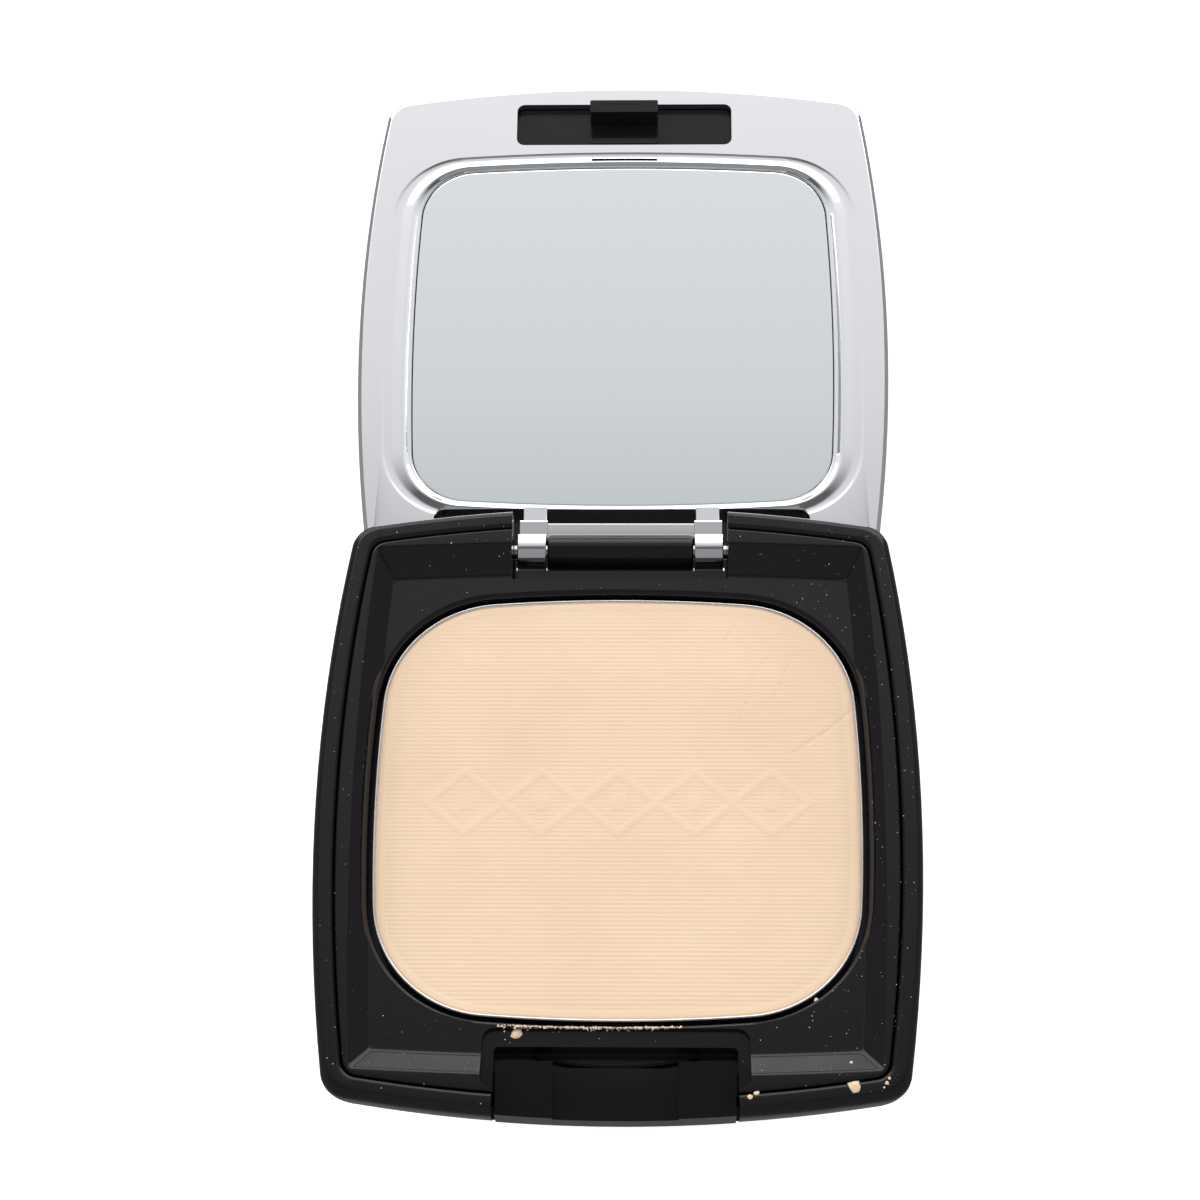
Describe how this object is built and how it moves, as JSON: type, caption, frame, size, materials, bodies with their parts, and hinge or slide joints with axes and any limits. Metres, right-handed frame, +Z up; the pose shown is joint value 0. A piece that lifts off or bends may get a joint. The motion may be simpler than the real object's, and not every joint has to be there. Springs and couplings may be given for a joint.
{
  "type": "powder compact",
  "caption": "Open pressed-powder compact: black barrel-square base with push button, powder pan, and a hinged chrome-lined lid with a mirror.",
  "frame": {"origin": "centre of the flat bottom of the base", "axes": "+Z up out of the base, +Y towards the hinge, +X to the right seen from the push button"},
  "size_m": [0.0676, 0.1399, 0.0156],
  "materials": {
    "black_gloss": "polished black moulding",
    "black_satin": "satin black leaf",
    "chrome_plate": "chrome-plated plastic",
    "mirror_glass": "silvered glass",
    "adhesive": "adhesive pad",
    "tinplate": "tinplate",
    "powder": "pressed face powder",
    "steel_pin": "drawn steel"
  },
  "bodies": {
    "base": {"base_shell": "black_gloss", "deck": "black_gloss", "powder_pan": "tinplate", "pressed_powder": "powder", "pan_glue": "adhesive", "button_spring": "black_satin", "hinge_pin": "steel_pin"},
    "lid": {"lid_frame": "chrome_plate", "lid_cover": "black_gloss", "mirror": "mirror_glass", "mirror_tape": "adhesive", "catch_hook": "black_gloss"},
    "button": {"push_button": "black_gloss"}
  },
  "joints": [
    {"name": "lid_hinge", "type": "hinge", "parent": "base", "child": "lid", "pos_m": [0, 0.0334, 0.0102], "axis": [1, 0, 0], "range_deg": [0, 176]},
    {"name": "button_push", "type": "slide", "parent": "base", "child": "button", "axis": [0, 1, 0], "range_m": [0, 0.0009], "stiffness_N_per_m": 900, "deforming": ["button_spring"]}
  ]
}
